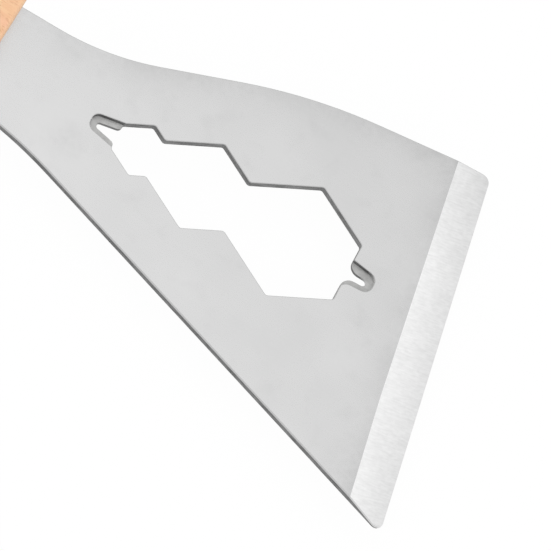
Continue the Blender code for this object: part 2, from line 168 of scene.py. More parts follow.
class SteelFinish(bpy.types.PropertyGroup):
    """Sizes, colours and roughness of the blade."""

    plate: colour("Plate", "Satin stainless sheet", "E1E1E1")
    # The plate shade takes the sheet's own mottling and darker spots, and painted shade
    plate_shade: colour("Plate shade", "The same sheet, darker: its mottling, darker spots and painted shade", "BFBFBF")
    plate_roughness: span("Plate roughness", "Roughness of the sheet, from least to most", 0.24, 0.3)
    ground: colour("Ground", "Freshly ground bevel", "FBFBFB")
    ground_shade: colour("Ground shade", "Bottoms of the grinding marks", "D2D2D2")
    ground_roughness: span("Ground roughness", "Roughness of the bevel, from least to most", 0.28, 0.38)
    rolled: colour("Rolled rim", "The sheet's polish where it is drawn over a rim", "C4C4C4")
    # The walls' colours: rough torn steel, made darker still by painted shade
    sheared: colour("Sheared", "Walls left by the punch and the shear", "8E8E8E")
    sheared_shade: colour("Sheared shade", "Torn part of the same walls, darker still by painted shade", "5C5C5C")
    sheared_roughness: span("Sheared roughness", "Roughness of those walls, from least to most", 0.42, 0.6)
    pressed: colour("Pressed", "Floors of the nail notches", "C5C5C4")
    pressed_shade: colour("Pressed shade", "Scale left in those floors", "9E9E9D")
    pressed_roughness: span("Pressed roughness", "Roughness of those floors, from least to most", 0.4, 0.55)
    roll: length("Roll", "Radius that the shear leaves along the outline's front rim", 0.00018)
    roll_depth: length("Roll depth", "How far down the outline's wall that polish still reaches", 0.0004)
    punch_depth: length("Punch depth", "How far down an opening's wall that polish still reaches", 0.00012)
    deburr: length("Deburr", "Width that deburring takes off the openings' front rims", 0.00018)
    back_deburr: length("Back deburr", "Width that deburring takes off the other rims", 0.00004)
    cloud: length("Cloud", "Size of the soft patches left by the polishing belt", 0.014)
    smudge: length("Smudge", "Size of one darker smudge", 0.0042)
    speck: length("Speck", "Size of the fine mottling of the sheet", 0.0011)
    brush_length: length("Brush mark", "Length of one brush mark", 0.006)
    brush_width: length("Brush width", "Width of one brush mark, drawn coarse enough to show", 0.00022)
    brush_depth: length("Brush depth", "Depth of one brush mark", 0.0000001)
    # The band along the upper edge is painted shade
    rim_shade_width: length("Rim shade width", "Width of the painted shade band along the upper edge", 0.011)
    line_place: point("Bevel line", "Where the bevel starts on the middle line", (0.148374, 0, 0.0098))
    line_skew: angle("Bevel skew", "How far the bevel's line is turned from square", 12.05)
    line_bow: length("Bevel bow", "Radius of the bevel line's slight bow", 1.6)
    bevel_width: length("Bevel width", "Width of the ground bevel", 0.00754)
    bevel_fall: length("Bevel fall", "Thickness that the bevel takes off at the scraping edge", 0.0011)
    # The strip behind the bevel's line is painted shade
    strip_shade_width: length("Strip shade width", "Width of the painted shade strip behind the bevel's line", 0.014)
    # The fade is painted shade, where the light falls off towards the crown
    shade_fade_start: length("Fade start", "How far along the fade the sheet begins to dull", 0.016)
    shade_fade_end: length("Fade end", "How far along the fade the painted shade is darkest", 0.112)
    grind_length: length("Grinding mark", "Length of one grinding mark, across the bevel", 0.0028)
    grind_width: length("Grinding width", "Width of one grinding mark, drawn coarse enough to show", 0.0003)
    grind_depth: length("Grinding depth", "Depth of one grinding mark", 0.0000004)
    grind_patch: length("Grinding patch", "Size of one patch of uneven grinding", 0.0009)
    grind_cloud: length("Grinding cloud", "Size of the wider patches of uneven grinding", 0.0056)
    grind_turn: angle("Grinding turn", "How far the grinding marks are turned from the handle's line", 19)
    tear_width: length("Tear width", "Width of the fine tears in a sheared wall", 0.00012)
    tear_height: length("Tear height", "How far one tear runs down the wall", 0.0008)
    tear_depth: length("Tear depth", "Depth of one tear", 0.000006)
    tear_band: length("Tear band", "Length of one darker or lighter stretch of a sheared wall", 0.0026)
    # A painted highlight on the walls round the larger notch's end
    highlight_point: point("Highlight point", "End of the larger notch, where the walls get a painted highlight", (0.1400, 0.0030, 0.0098))
    highlight_reach: length("Highlight reach", "How far from there the painted highlight reaches", 0.0028)
    highlight_core: length("Highlight core", "How far from there the wall is as bright as the sheet", 0.00112)
    press_speck: length("Press speck", "Size of the specks of scale in a notch's floor", 0.00066)
    press_patch: length("Press patch", "Size of the patches of scale in a notch's floor", 0.0022)
    press_depth: length("Press depth", "Depth of the specks in a notch's floor", 0.00001)


class WoodFinish(bpy.types.PropertyGroup):
    """Sizes, colours and roughness of the scales."""

    light: colour("Light wood", "Palest part of a growth ring", "FFDEAB")
    dark: colour("Dark wood", "Darkest part of a growth ring", "ECB488")
    pink: colour("Pink wood", "Steamed wood, redder in soft patches", "FABFA6")
    fleck: colour("Fleck", "Short dark rays that mark beech", "B57F58")
    # The front end's edge colour is painted shade on its rounded edge
    darkening: colour("Edge shade", "Painted shade at the front end's rounded edge", "D2AE8C")
    roughness: span("Wood roughness", "Roughness of the oiled wood, from least to most", 0.42, 0.58)
    ring_width: length("Ring width", "Width of one growth ring", 0.0018)
    ring_wave: length("Ring wave", "Length of one wave in the growth rings", 0.050)
    pith: point("Pith", "Middle of the trunk that the wood was sawn from", (0.04, 0.006, -0.014))
    pith_lean: angle("Pith lean", "How far the trunk leans from the handle's line", 4)
    fibre_length: length("Fibre length", "Length of one fibre", 0.008)
    fibre_width: length("Fibre width", "Width of one fibre, drawn coarse enough to show", 0.0003)
    fibre_depth: length("Fibre depth", "Depth of the grain between two fibres", 0.00001)
    blotch: length("Blotch", "Width of one darker blotch in the oil", 0.0016)
    fleck_length: length("Fleck length", "Length of one ray fleck", 0.0013)
    fleck_width: length("Fleck width", "Width of one ray fleck", 0.00034)
    pink_patch: length("Pink patch", "Width of one redder patch", 0.005)
    edge_shade_width: length("Edge shade width", "Width of the worn edge at the front end", 0.0008)


class BrassFinish(bpy.types.PropertyGroup):
    """Sizes, colours and roughness of the rivets and the eyelet."""

    bright: colour("Bright brass", "Freshly sanded brass", "ECCA7E")
    dim: colour("Dull brass", "Brass that has begun to tarnish", "CBA55C")
    roughness: span("Brass roughness", "Roughness of the brass, from least to most", 0.22, 0.42)
    scratch_length: length("Scratch length", "Length of one sanding scratch", 0.0040)
    scratch_width: length("Scratch width", "Width of one sanding scratch", 0.00010)
    scratch_depth: length("Scratch depth", "Depth of one sanding scratch", 0.000001)
    stain: length("Stain", "Size of one patch of tarnish", 0.0026)
    head_thickness: length("Head thickness", "Thickness of a rivet's head", 0.0013)
    barrel_radius: length("Barrel radius", "Radius of a rivet's hollow half", 0.0026)
    pin_radius: length("Pin radius", "Radius of a rivet's solid half", 0.0014)
    pin_chamfer: length("Pin chamfer", "Chamfer at the pin's tip", 0.0004)
    rim_round: length("Rim rounding", "Radius at the rim of a rivet's head and of the washer", 0.00025)
    dome: length("Dome", "How far a head's rim lies below its middle", 0.00006)
    flange_thickness: length("Flange thickness", "Thickness of the eyelet's flange and lip", 0.0008)
    flange_round: length("Flange rounding", "Radius along the flange and the lip", 0.0004)
    tube_wall: length("Tube wall", "Wall of the eyelet's tube", 0.0005)
    bore_radius: length("Bore radius", "Radius of the eyelet's bore", 0.0035)
    lip_radius: length("Lip radius", "Radius of the eyelet's lip", 0.0052)
    steps: IntProperty(name="Steps", description="Steps in a full turn", default=96, min=12)


class StudioSetup(bpy.types.PropertyGroup):
    """Camera, lamps and surroundings."""

    azimuth: angle("Azimuth", "Direction that the camera looks from", -5.048)
    elevation: angle("Elevation", "Height of the camera above the horizon", 59.79)
    roll: angle("Roll", "How far the camera is tilted on its own axis", 37.724)
    aim: point("Aim", "Point on the blade at the picture's middle", (0.12406, -0.00664, 0.0098))
    width: length("Frame width", "Width of the picture at that point", 0.09984)
    lens: FloatProperty(name="Lens", description="Focal length in millimetres; a long one, for a flat view",
                        default=1600, min=50)
    ambient: FloatProperty(name="Ambient", description="Strength of the light from all sides",
                           default=0.8, min=0)
    floor_glow: FloatProperty(name="Floor glow", description="Share of the floor that is plain white",
                              default=0.96, min=0, max=1, subtype="FACTOR")


def add_node(tree, kind, inputs, output=None, **settings):
    """Add a node with its settings and its sockets filled or linked, and return it or one output."""
    node = tree.nodes.new(kind)
    for name, value in settings.items():
        setattr(node, name, value)
    for socket, value in inputs.items():
        if isinstance(value, bpy.types.NodeSocket):
            tree.links.new(value, node.inputs[socket])
        else:
            node.inputs[socket].default_value = value
    return node.outputs[output] if output else node


def new_finish(name):
    """An empty material, and the piece's own coordinates to draw on."""
    finish = bpy.data.materials.new(name)
    finish.use_nodes = True
    tree = finish.node_tree
    tree.nodes.clear()
    return finish, tree, add_node(tree, "ShaderNodeTexCoord", {}, "Object")


def grains(tree, place, size, clip=(0.3, 0.7), turn=0):
    """Tones from 0 to 1 in grains of a real size, turned about Z; clip cuts both ends off."""
    laid = add_node(tree, "ShaderNodeMapping", {"Vector": place, "Rotation": (0, 0, turn), "Scale": size},
                    "Vector", vector_type="TEXTURE")
    noise = add_node(tree, "ShaderNodeTexNoise", {"Vector": laid, "Scale": 1, "Detail": 2}, "Fac")
    low, high = clip
    return add_node(tree, "ShaderNodeMapRange", {"Value": noise, "From Min": low, "From Max": high}, "Result")


def blend(tree, *layers):
    """Weighted sum of up to three tones, each given with its weight."""
    tones, weights = zip(*layers)
    joined = add_node(tree, "ShaderNodeCombineXYZ", dict(zip("XYZ", tones)), "Vector")
    weights = (*weights, 0, 0)[:3]
    return add_node(tree, "ShaderNodeVectorMath", {0: joined, 1: weights}, "Value", operation="DOT_PRODUCT")


def shade(tree, light, dark, *layers):
    """Go from one colour to another by the weighted sum of up to three tones."""
    return add_node(tree, "ShaderNodeMix", {"Factor": blend(tree, *layers), "A": light, "B": dark}, "Result",
                    data_type="RGBA")


def lay_surface(tree, tint, roughness, tone, depth, height, metallic=1):
    """Finish a material: a tone spreads its roughness, and its relief has a real depth."""
    least, most = roughness
    rough = add_node(tree, "ShaderNodeMapRange", {"Value": tone, "To Min": least, "To Max": most}, "Result")
    relief = add_node(tree, "ShaderNodeBump", {"Height": height, "Distance": depth}, "Normal")
    shader = add_node(tree, "ShaderNodeBsdfPrincipled", {"Metallic": metallic, "Base Color": tint,
                                                         "Roughness": rough, "Normal": relief}, "BSDF")
    add_node(tree, "ShaderNodeOutputMaterial", {"Surface": shader})


def past_bevel_line(tree, place, steel):
    """Signed distance in metres across the bevel's line, towards the scraping edge."""
    laid = add_node(tree, "ShaderNodeMapping", {"Vector": place, "Location": steel.line_place,
                                                "Rotation": (0, 0, steel.line_skew)},
                    "Vector", vector_type="TEXTURE")
    along = add_node(tree, "ShaderNodeSeparateXYZ", {"Vector": laid})
    squared = add_node(tree, "ShaderNodeMath", {0: along.outputs["Y"], 1: along.outputs["Y"]}, "Value",
                       operation="MULTIPLY")
    # A bow leaves its tangent by the square of the way along it, over twice its radius
    return add_node(tree, "ShaderNodeMath", {0: squared, 1: -0.5 / steel.line_bow, 2: along.outputs["X"]},
                    "Value", operation="MULTIPLY_ADD")


def inside_upper_edge(tree, place):
    """Distance in metres from the blade's upper edge, from the neck to the bevel."""
    sides = []
    for (near_x, near_y), (far_x, far_y) in zip(UPPER_EDGE, UPPER_EDGE[1:]):
        inward = Vector((far_y - near_y, near_x - far_x, 0)).normalized()
        start = inward.dot(Vector((near_x, near_y, 0)))
        across = add_node(tree, "ShaderNodeVectorMath", {0: place, 1: inward}, "Value",
                          operation="DOT_PRODUCT")
        sides.append(add_node(tree, "ShaderNodeMath", {0: across, 1: start}, "Value", operation="SUBTRACT"))
    neck, flare, crown = sides
    hollow = add_node(tree, "ShaderNodeMath", {0: neck, 1: flare}, "Value", operation="MAXIMUM")
    return add_node(tree, "ShaderNodeMath", {0: hollow, 1: crown}, "Value", operation="MINIMUM")


def satin_sheet(steel):
    """Stainless sheet off a fine polishing belt: an even soft grey without clear reflections, with painted
    shade behind the bevel, along the upper edge and towards the crown.
    """
    finish, tree, place = new_finish("Satin stainless sheet, belt polished")
    cloud = grains(tree, place, [steel.cloud] * 3)
    smudge = grains(tree, place, [steel.smudge] * 3, clip=(0.56, 0.8))
    speck = grains(tree, place, [steel.speck] * 3)
    brush = grains(tree, place, (steel.brush_length, steel.brush_width, steel.brush_width), clip=(0.2, 0.8))

    # Painted shade: a strip behind the bevel's line, and a band along the upper edge
    behind = add_node(tree, "ShaderNodeMapRange", {"Value": past_bevel_line(tree, place, steel),
                                                   "From Min": -steel.strip_shade_width, "From Max": 0}, "Result")
    strip = add_node(tree, "ShaderNodeMath", {0: behind, 1: STRIP_POWER}, "Value", operation="POWER")
    inside = add_node(tree, "ShaderNodeMapRange", {"Value": inside_upper_edge(tree, place),
                                                   "From Min": steel.rim_shade_width, "From Max": 0}, "Result")
    rim = add_node(tree, "ShaderNodeMath", {0: inside, 1: RIM_POWER}, "Value", operation="POWER")
    spots = []
    for middle, reach, strength in DARK_SPOTS:
        away = add_node(tree, "ShaderNodeVectorMath", {0: place, 1: middle}, "Value", operation="DISTANCE")
        near = add_node(tree, "ShaderNodeMapRange", {"Value": away, "From Min": reach, "From Max": 0},
                        "Result")
        spots.append((near, strength))
    # The painted shade of the strip and the rim, and the darker spots, are uneven
    darkening = blend(tree, (strip, 0.85), (rim, 1), (blend(tree, *spots), 1))
    uneven = blend(tree, (cloud, 0.4), (speck, 0.3), (1, 0.2))
    dim = add_node(tree, "ShaderNodeMath", {0: darkening, 1: uneven}, "Value", operation="MULTIPLY")

    # Painted shade: the sheet darkens towards the crown, where the light falls off
    onward = add_node(tree, "ShaderNodeVectorMath", {0: place, 1: SHADE_FADE_WAY}, "Value", operation="DOT_PRODUCT")
    painted_falloff = add_node(tree, "ShaderNodeMapRange", {"Value": onward, "From Min": steel.shade_fade_start,
                                                  "From Max": steel.shade_fade_end}, "Result")
    mottle = blend(tree, (cloud, 0.14), (smudge, 0.13), (brush, 0.04))
    # The mottling is the sheet's own; the rest is painted shade and darker spots
    tint = shade(tree, steel.plate, steel.plate_shade, (mottle, 1), (dim, 0.54), (painted_falloff, 0.385))
    lay_surface(tree, tint, steel.plate_roughness, uneven, steel.brush_depth, brush)
    return finish


def ground_steel(steel):
    """Steel straight off the grinding wheel: the brightest part, with fine marks across the bevel."""
    finish, tree, place = new_finish("Ground stainless, wheel marks left")
    mark = grains(tree, place, (steel.grind_length, steel.grind_width, steel.grind_width),
                  turn=steel.grind_turn)
    patch = grains(tree, place, [steel.grind_patch] * 3, turn=steel.grind_turn)
    cloud = grains(tree, place, [steel.grind_cloud] * 3)
    outward = add_node(tree, "ShaderNodeMapRange", {"Value": past_bevel_line(tree, place, steel),
                                                    "From Max": steel.bevel_width}, "Result")
    # The bevel is darker towards its upper end
    across = add_node(tree, "ShaderNodeSeparateXYZ", {"Vector": place}, "Y")
    near, far = BEVEL_DARKENING_SPAN
    end = add_node(tree, "ShaderNodeMapRange", {"Value": across, "From Min": near, "From Max": far}, "Result")
    darkening = blend(tree, (outward, 0.44), (end, 0.26), (cloud, 0.1))
    tint = shade(tree, steel.ground, steel.ground_shade, (mark, 0.2), (patch, 0.16), (darkening, 1))
    lay_surface(tree, tint, steel.ground_roughness, mark, steel.grind_depth, mark)
    return finish


def torn_steel(steel, name, depth):
    """Wall left by a shear or a punch: polished at the top down to a depth, then dark and torn, with painted
    shade making it darker still and a painted highlight near the larger notch's end.
    """
    finish, tree, place = new_finish(name)
    tear = grains(tree, place, (steel.tear_width, steel.tear_width, steel.tear_height))
    band = grains(tree, place, (steel.tear_band, steel.tear_band, steel.tear_band / BAND_STRETCH),
                  clip=(0.35, 0.65))
    # The torn tones are darker than torn steel by painted shade
    torn = shade(tree, steel.sheared, steel.sheared_shade, (tear, 0.3), (band, 0.6))
    # Painted highlight on the walls near the larger notch's end
    highlight_point = add_node(tree, "ShaderNodeVectorMath", {0: place, 1: steel.highlight_point}, "Value", operation="DISTANCE")
    painted_highlight = add_node(tree, "ShaderNodeMapRange", {"Value": highlight_point, "From Min": steel.highlight_reach,
                                                    "From Max": steel.highlight_core}, "Result")
    below = shade(tree, torn, steel.plate, (painted_highlight, 1))

    past = past_bevel_line(tree, place, steel)
    beyond = add_node(tree, "ShaderNodeMapRange", {"Value": past, "From Max": steel.roll}, "Result")
    above = shade(tree, steel.rolled, steel.ground_shade, (beyond, 1))
    # The wall's top comes down with the bevel, so the fall is added back to the height
    fallen = add_node(tree, "ShaderNodeMapRange", {"Value": past, "From Max": steel.bevel_width,
                                                   "To Max": steel.bevel_fall}, "Result")
    height = add_node(tree, "ShaderNodeSeparateXYZ", {"Vector": place}, "Z")
    # The polish is whole down to half its depth
    top_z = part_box("blade")[1].z
    polish = add_node(tree, "ShaderNodeMapRange", {"Value": blend(tree, (height, 1), (fallen, 1)),
                                                   "From Min": top_z - depth, "From Max": top_z - depth / 2},
                      "Result", interpolation_type="SMOOTHSTEP")
    tint = shade(tree, below, above, (polish, 1))
    lay_surface(tree, tint, steel.sheared_roughness, tear, steel.tear_depth, tear)
    return finish


def pressed_steel(steel):
    """Floor of a nail notch as the die left it: dull, mottled and a little uneven."""
    finish, tree, place = new_finish("Coined stainless, die pressed")
    speck = grains(tree, place, [steel.press_speck] * 3)
    patch = grains(tree, place, [steel.press_patch] * 3)
    # The floors are darker towards the larger notch
    along = add_node(tree, "ShaderNodeSeparateXYZ", {"Vector": place}, "X")
    near, far = NOTCH_FLOOR_DARKENING
    toward_larger_notch = add_node(tree, "ShaderNodeMapRange", {"Value": along, "From Min": near, "From Max": far}, "Result")
    tint = shade(tree, steel.pressed, steel.pressed_shade, (speck, 0.35), (patch, 0.3), (toward_larger_notch, 0.12))
    lay_surface(tree, tint, steel.pressed_roughness, patch, steel.press_depth, speck, metallic=BARE_METAL)
    return finish


def oiled_beech(wood):
    """Beech sanded and oiled: peach coloured, straight grained, with short dark ray flecks."""
    finish, tree, place = new_finish("Oiled beech, sanded")
    trunk = add_node(tree, "ShaderNodeMapping", {"Vector": place, "Location": wood.pith,
                                                 "Rotation": (0, wood.pith_lean, 0),
                                                 "Scale": (wood.ring_wave, wood.ring_width, wood.ring_width)},
                     "Vector", vector_type="TEXTURE")
    ring = add_node(tree, "ShaderNodeTexWave", {"Vector": trunk, "Scale": RING_SCALE,
                                                "Distortion": RING_WAVER, "Detail": 1,
                                                "Detail Scale": 1}, "Fac",
                    wave_type="RINGS", rings_direction="X", wave_profile="SAW")
    fibre = grains(tree, place, (wood.fibre_length, wood.fibre_width, wood.fibre_width), clip=(0.25, 0.75))
    blotch = grains(tree, place, (wood.blotch * BLOTCH_STRETCH, wood.blotch, wood.blotch), clip=(0.35, 0.7))
    fleck = grains(tree, place, (wood.fleck_length, wood.fleck_width, wood.fleck_width), clip=(0.55, 0.8))
    pink = grains(tree, place, (wood.pink_patch * PINK_STRETCH, wood.pink_patch, wood.pink_patch),
                  clip=(0.35, 0.65))
    along = add_node(tree, "ShaderNodeSeparateXYZ", {"Vector": place}, "X")
    front_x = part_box("front_scale")[1].x
    edge = add_node(tree, "ShaderNodeMapRange", {"Value": along, "From Min": front_x - wood.edge_shade_width,
                                                 "From Max": front_x}, "Result")
    tint = wood.light
    # The last layer is painted shade on the front end's rounded edge
    for over, *layers in ((wood.dark, (ring, 0.4), (fibre, 0.4), (blotch, 0.2)),
                          (wood.pink, (pink, 0.5)),
                          (wood.fleck, (fleck, 0.5), (blotch, 0.12)),
                          (wood.darkening, (edge, 0.5))):
        tint = shade(tree, tint, over, *layers)
    height = blend(tree, (fibre, -1), (fleck, -2))
    lay_surface(tree, tint, wood.roughness, fibre, wood.fibre_depth, height, metallic=0)
    return finish


def sanded_brass(brass):
    """Brass sanded flush with the wood: warm, lightly scratched along the handle, with dull patches."""
    finish, tree, place = new_finish("Brass, sanded flush")
    scratch = grains(tree, place, (brass.scratch_length, brass.scratch_width, brass.scratch_width))
    stain = grains(tree, place, [brass.stain] * 3, clip=(0.35, 0.7))
    tint = shade(tree, brass.bright, brass.dim, (scratch, 0.35), (stain, 0.6))
    uneven = blend(tree, (scratch, 0.5), (stain, 0.5))
    lay_surface(tree, tint, brass.roughness, uneven, brass.scratch_depth, scratch)
    return finish


def welded_copy(name):
    """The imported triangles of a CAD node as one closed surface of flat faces."""
    solid = bmesh.new()
    solid.from_mesh(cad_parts[name].data)
    bmesh.ops.remove_doubles(solid, verts=solid.verts, dist=WELD_DISTANCE)
    bmesh.ops.dissolve_limit(solid, angle_limit=FLAT_ANGLE, verts=solid.verts, edges=solid.edges)
    bmesh.ops.recalc_face_normals(solid, faces=solid.faces)
    return solid


def turned(profile, steps, ring=False):
    """A closed solid turned about Z from (radius, height) points."""
    solid = bmesh.new()
    points = [solid.verts.new((radius, 0, height)) for radius, height in profile]
    edges = [solid.edges.new(pair) for pair in zip(points, points[1:])]
    if ring:
        edges.append(solid.edges.new((points[-1], points[0])))
    bmesh.ops.spin(solid, geom=points + edges, cent=(0, 0, 0), axis=(0, 0, 1),
                   angle=math.tau, steps=steps, use_merge=True)
    bmesh.ops.remove_doubles(solid, verts=solid.verts, dist=WELD_DISTANCE)
    bmesh.ops.recalc_face_normals(solid, faces=solid.faces)
    return solid


def round_over(solid, radius, height, rounding):
    """Round a turned solid's rim at one radius and height."""
    rim = [edge for edge in solid.edges
           if all(abs(vert.co.xy.length - radius) < WELD_DISTANCE
                  and abs(vert.co.z - height) < WELD_DISTANCE for vert in edge.verts)]
    bevel(solid, rim, rounding, ROUND_FACETS)


def bevel(solid, edges, offset, segments):
    """Bevel some edges of a solid."""
    bmesh.ops.bevel(solid, geom=edges, offset=offset, offset_type="OFFSET", segments=segments,
                    profile=0.5, affect="EDGES", clamp_overlap=False, material=-1)


def show(name, solid, finishes):
    """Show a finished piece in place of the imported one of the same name."""
    # Faces shade smoothly into each other, but not over a crisp edge or into another finish
    for face in solid.faces:
        face.smooth = True
    for edge in solid.edges:
        places = {face.material_index for face in edge.link_faces}
        edge.smooth = edge.calc_face_angle() < CRISP_ANGLE and len(places) == 1
    mesh = bpy.data.meshes.new(name)
    solid.to_mesh(mesh)
    solid.free()
    for finish in finishes:
        mesh.materials.append(finish)
    piece = bpy.data.objects.new("finished_" + name, mesh)
    bpy.context.scene.collection.objects.link(piece)
    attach(piece, "root")
    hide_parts(name)


def punched_walls(solid):
    """Walls of the blade's openings: all the steep faces that the outline's wall doesn't reach."""
    _, steep_from = GROUND_LEAN
    steep = {face for face in solid.faces
             if steep_from < face.normal.angle(Vector((0, 0, 1))) < math.pi - steep_from}
    spread = [max(steep, key=lambda face: face.calc_center_median().x)]
    steep.discard(spread[0])
    while spread:
        face = spread.pop()
        touching = {other for edge in face.edges for other in edge.link_faces} & steep
        steep -= touching
        spread += touching
    return steep


def sort_faces(solid, steel):
    """Give each of the blade's faces its finish by its lean, its height and its place."""
    front_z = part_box("blade")[1].z
    across = Vector((math.cos(steel.line_skew), math.sin(steel.line_skew), 0))
    level, steep = GROUND_LEAN
    punched = punched_walls(solid)
    for face in solid.faces:
        lean = face.normal.angle(Vector((0, 0, 1)))
        middle = face.calc_center_median()
        past = across.dot(middle - Vector(steel.line_place))
        at_edge = past > steel.bevel_width * EDGE_PLACE and face.normal.dot(across) > EDGE_FACING
        if lean < level and middle.z < front_z - WELD_DISTANCE:
            face.material_index = PRESSED
        elif lean < level or lean > math.pi - level:
            face.material_index = PLATE
        elif lean < steep or at_edge:
            face.material_index = GROUND
        elif face in punched:
            face.material_index = PUNCHED
        else:
            face.material_index = SHEARED


def sharp_rims(solid):
    """Edges of a solid that stand out sharply."""
    return [edge for edge in solid.edges if edge.calc_face_angle_signed() > RIM_ANGLE]


class PUTTYKNIFE_OT_blade(bpy.types.Operator):
    """Deburr the blade and give its plate, bevel, walls and notches their finishes"""

    bl_idname = "putty_knife.blade"
    bl_label = "Dress Blade"

    def execute(self, context):
        steel = context.scene.putty_knife_steel
        solid = welded_copy("blade")
        sort_faces(solid, steel)
        # The front's rims along the outline first, then those of the openings, then all the others
        for wall, offset, facets in ((SHEARED, steel.roll, ROLL_FACETS),
                                     (PUNCHED, steel.deburr, DEBURR_FACETS)):
            rims = [edge for edge in sharp_rims(solid)
                    if any(face.material_index in FRONT and face.normal.z > 0 for face in edge.link_faces)
                    and any(face.material_index == wall for face in edge.link_faces)]
            bevel(solid, rims, offset, facets)
            sort_faces(solid, steel)
        bevel(solid, sharp_rims(solid), steel.back_deburr, 1)
        sort_faces(solid, steel)
        finishes = [satin_sheet(steel), ground_steel(steel), pressed_steel(steel),
                    torn_steel(steel, "Sheared stainless, edge eased", steel.roll_depth),
                    torn_steel(steel, "Punched stainless, torn wall", steel.punch_depth)]
        show("blade", solid, finishes)
        return {"FINISHED"}


class PUTTYKNIFE_OT_scales(bpy.types.Operator):
    """Let both wooden scales down onto the tang and give them their beech"""

    bl_idname = "putty_knife.scales"
    bl_label = "Dress Scales"

    def execute(self, context):
        beech = oiled_beech(context.scene.putty_knife_wood)
        back_z, front_z = (corner.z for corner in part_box("blade"))
        for name, seat_z in (("front_scale", front_z + SEAT_GAP), ("back_scale", back_z - SEAT_GAP)):
            solid = welded_copy(name)
            seat = [vert for vert in solid.verts if abs(vert.co.z - seat_z) < WELD_DISTANCE]
            if not seat:
                raise RuntimeError("the scale's seat isn't where it should be: " + name)
            # The front scale's seat comes down to the tang, and the back scale's up
            bmesh.ops.translate(solid, verts=seat, vec=(0, 0, math.copysign(FILL, front_z - seat_z)))
            show(name, solid, [beech])
        return {"FINISHED"}


class PUTTYKNIFE_OT_rivets(bpy.types.Operator):
    """Turn both halves of each rivet, their heads close in their counterbores"""

    bl_idname = "putty_knife.rivets"
    bl_label = "Dress Rivets"

    def execute(self, context):
        brass = context.scene.putty_knife_brass
        metal = sanded_brass(brass)
        for rivet in RIVETS:
            barrel_low, barrel_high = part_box(rivet + "_barrel")
            pin_low, pin_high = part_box(rivet + "_pin")
            middle_x = (barrel_low.x + barrel_high.x) / 2
            head = (barrel_high.x - barrel_low.x) / 2 + FILL
            under = brass.head_thickness + FILL
            bore = brass.pin_radius + SEAT_GAP
            # Radius of each ring of the domed face, and how far it drops below the middle
            rings = [(head * ring / DOME_RINGS, brass.dome * (ring / DOME_RINGS) ** 2)
                     for ring in range(DOME_RINGS + 1)]
            barrel = [(radius, barrel_high.z - drop) for radius, drop in rings]
            barrel += [(head, barrel_high.z - under), (brass.barrel_radius, barrel_high.z - under),
                       (brass.barrel_radius, barrel_low.z), (bore, barrel_low.z),
                       (bore, pin_high.z + SEAT_GAP), (0, pin_high.z + SEAT_GAP)]
            pin = [(radius, pin_low.z + drop) for radius, drop in rings]
            pin += [(head, pin_low.z + under), (brass.pin_radius, pin_low.z + under),
                    (brass.pin_radius, pin_high.z - brass.pin_chamfer),
                    (brass.pin_radius - brass.pin_chamfer, pin_high.z), (0, pin_high.z)]
            halves = ((rivet + "_barrel", barrel, barrel_high.z - brass.dome),
                      (rivet + "_pin", pin, pin_low.z + brass.dome))
            for name, profile, rim_z in halves:
                solid = turned(profile, brass.steps)
                round_over(solid, head, rim_z, brass.rim_round)
                bmesh.ops.translate(solid, verts=solid.verts, vec=(middle_x, 0, 0))
                show(name, solid, [metal])
        return {"FINISHED"}


class PUTTYKNIFE_OT_eyelet(bpy.types.Operator):
    """Turn the eyelet of the hanging hole and the washer under its lip"""

    bl_idname = "putty_knife.eyelet"
    bl_label = "Dress Eyelet"

    def execute(self, context):
        brass = context.scene.putty_knife_brass
        metal = sanded_brass(brass)
        low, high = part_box("hanging_eyelet")
        flange = (high.x - low.x) / 2 + FILL
        tube = brass.bore_radius + brass.tube_wall
        lip_z = low.z + brass.flange_thickness
        under_z = high.z - brass.flange_thickness - FILL
        eyelet = turned([(tube, lip_z), (brass.lip_radius, lip_z), (brass.lip_radius, low.z),
                         (brass.bore_radius, low.z), (brass.bore_radius, high.z), (flange, high.z),
                         (flange, under_z), (tube, under_z)], brass.steps, ring=True)
        for radius, height in ((brass.lip_radius, low.z), (brass.bore_radius, low.z),
                               (brass.bore_radius, high.z), (flange, high.z)):
            round_over(eyelet, radius, height, brass.flange_round)
        washer_low, washer_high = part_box("eyelet_washer")
        washer_z = washer_low.z - FILL
        washer = turned([(tube + CONTACT, washer_z), (flange, washer_z), (flange, washer_high.z),
                         (tube + CONTACT, washer_high.z)], brass.steps, ring=True)
        round_over(washer, flange, washer_z, brass.rim_round)
        for name, solid in (("hanging_eyelet", eyelet), ("eyelet_washer", washer)):
            bmesh.ops.translate(solid, verts=solid.verts, vec=((low.x + high.x) / 2, 0, 0))
            show(name, solid, [metal])
        return {"FINISHED"}


def softbox(name, place, size, power, aim):
    """A square studio lamp that faces a point, and doesn't show in polished metal."""
    lamp = bpy.data.lights.new(name, "AREA")
    lamp.size = size
    lamp.energy = power
    item = bpy.data.objects.new(name, lamp)
    item.location = place
    item.rotation_euler = (Vector(place) - Vector(aim)).to_track_quat("Z", "Y").to_euler()
    item.visible_camera = False
    item.visible_glossy = False
    bpy.context.scene.collection.objects.link(item)


def seen_directly(tree):
    """1 for the camera's rays and for those of reflections, 0 for rays of soft light."""
    path = add_node(tree, "ShaderNodeLightPath", {})
    seen = add_node(tree, "ShaderNodeMath", {0: path.outputs["Is Camera Ray"],
                                             1: path.outputs["Is Glossy Ray"]}, "Value", operation="MAXIMUM")
    return add_node(tree, "ShaderNodeMath", {0: seen, 1: path.outputs["Is Transmission Ray"]}, "Value",
                    operation="MAXIMUM")


